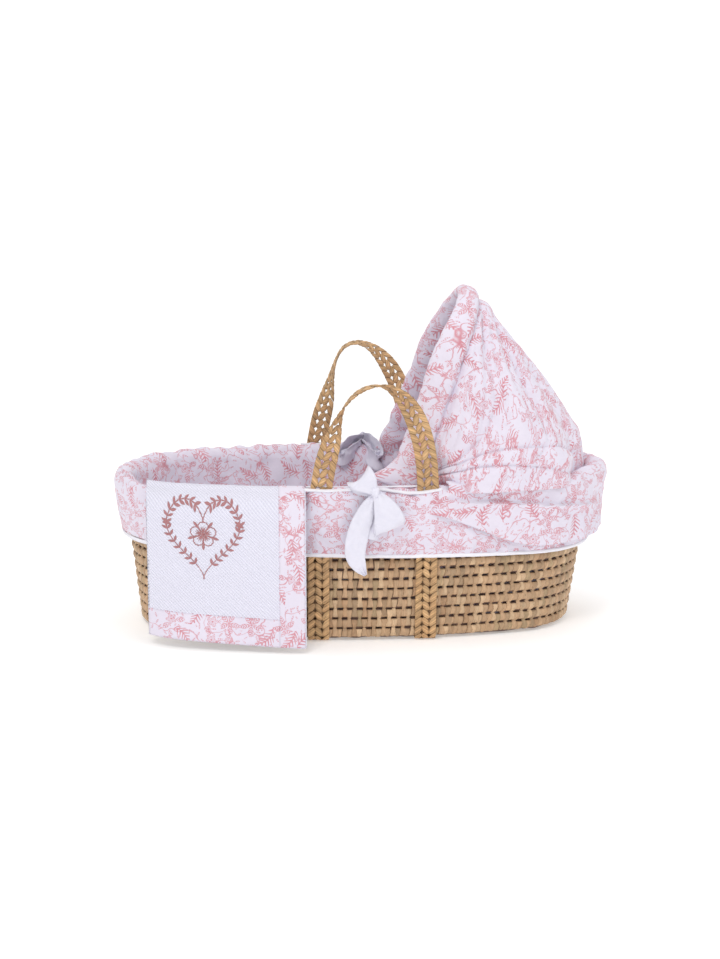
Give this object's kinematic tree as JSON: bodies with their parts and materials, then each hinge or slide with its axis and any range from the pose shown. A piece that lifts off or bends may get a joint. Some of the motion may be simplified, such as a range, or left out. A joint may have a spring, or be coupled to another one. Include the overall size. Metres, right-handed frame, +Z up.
{
  "type": "baby cradle",
  "caption": "Oval woven palm carry cradle with strap handles, padded print liner and skirt, folding hoop hood, mattress, ribbon bows and a folded blanket.",
  "frame": {"origin": "on the surface that the cradle stands on, below the middle of its length and width", "axes": "+X towards the hood and head end, +Y towards the rear long side, +Z up"},
  "size_m": [0.8784, 0.4728, 0.6045],
  "materials": {
    "palm_weave": "matte",
    "palm_braid": "matte",
    "board": "matte",
    "toile_print": "matte",
    "white_piping": "matte",
    "elastic": "matte",
    "satin_ribbon": "satin",
    "pique": "matte",
    "embroidery": "satin",
    "ticking": "matte",
    "foam": "matte",
    "steel_wire": "satin",
    "zinc_fittings": "satin"
  },
  "bodies": {
    "basket": {"base_board": "board", "base_weave": "palm_weave", "front_bow_knot": "satin_ribbon", "front_bow_loops": "satin_ribbon", "front_bow_tails": "satin_ribbon", "front_bracket_rivets": "zinc_fittings", "front_pivot_bracket": "zinc_fittings", "front_pivot_pin": "zinc_fittings", "front_slot_bindings": "white_piping", "hood_canopy": "toile_print", "hood_valance": "toile_print", "liner_rim_roll": "toile_print", "liner_skirt": "toile_print", "liner_wall": "toile_print", "rear_bow_knot": "satin_ribbon", "rear_bow_loops": "satin_ribbon", "rear_bow_tails": "satin_ribbon", "rear_bracket_rivets": "zinc_fittings", "rear_pivot_bracket": "zinc_fittings", "rear_pivot_pin": "zinc_fittings", "rear_slot_bindings": "white_piping", "rim_braid": "palm_braid", "skirt_elastic": "elastic", "skirt_hem_binding": "white_piping", "strap_left": "palm_braid", "strap_right": "palm_braid", "valance_binding": "white_piping", "wall_course_01": "palm_weave", "wall_course_02": "palm_weave", "wall_course_03": "palm_weave", "wall_course_04": "palm_weave", "wall_course_05": "palm_weave", "wall_course_06": "palm_weave", "wall_course_07": "palm_weave", "wall_course_08": "palm_weave", "wall_course_09": "palm_weave", "wall_course_10": "palm_weave", "wall_course_11": "palm_weave", "wall_course_12": "palm_weave", "wall_course_13": "palm_weave", "wall_course_14": "palm_weave"},
    "hood": {"hood_hoop": "steel_wire", "hood_front_hem": "toile_print"},
    "front_handle": {"front_handle": "palm_braid"},
    "rear_handle": {"rear_handle": "palm_braid"},
    "mattress": {"mattress_core": "foam", "mattress_cover": "ticking", "mattress_piping_top": "white_piping", "mattress_piping_bottom": "white_piping"},
    "blanket": {"blanket_body": "pique", "blanket_border": "toile_print", "blanket_embroidery": "embroidery"}
  },
  "joints": [
    {"name": "hood_fold", "type": "hinge", "parent": "basket", "child": "hood", "pos_m": [0.072, 0, 0.2608], "axis": [0, 1, 0], "range_deg": [0, 57], "deforming": ["hood_canopy"]},
    {"name": "front_handle_swing", "type": "hinge", "parent": "basket", "child": "front_handle", "pos_m": [0.02, -0.20464, 0.2808], "axis": [1, 0, 0], "range_deg": [-22, 84]},
    {"name": "rear_handle_swing", "type": "hinge", "parent": "basket", "child": "rear_handle", "pos_m": [0.02, 0.20464, 0.2808], "axis": [-1, 0, 0], "range_deg": [-22, 90]},
    {"name": "mattress_lift", "type": "slide", "parent": "basket", "child": "mattress", "axis": [0, 0, 1], "range_m": [0, 0.26]},
    {"name": "blanket_lift", "type": "slide", "parent": "basket", "child": "blanket", "axis": [0, 0, 1], "range_m": [0, 0.3]}
  ]
}
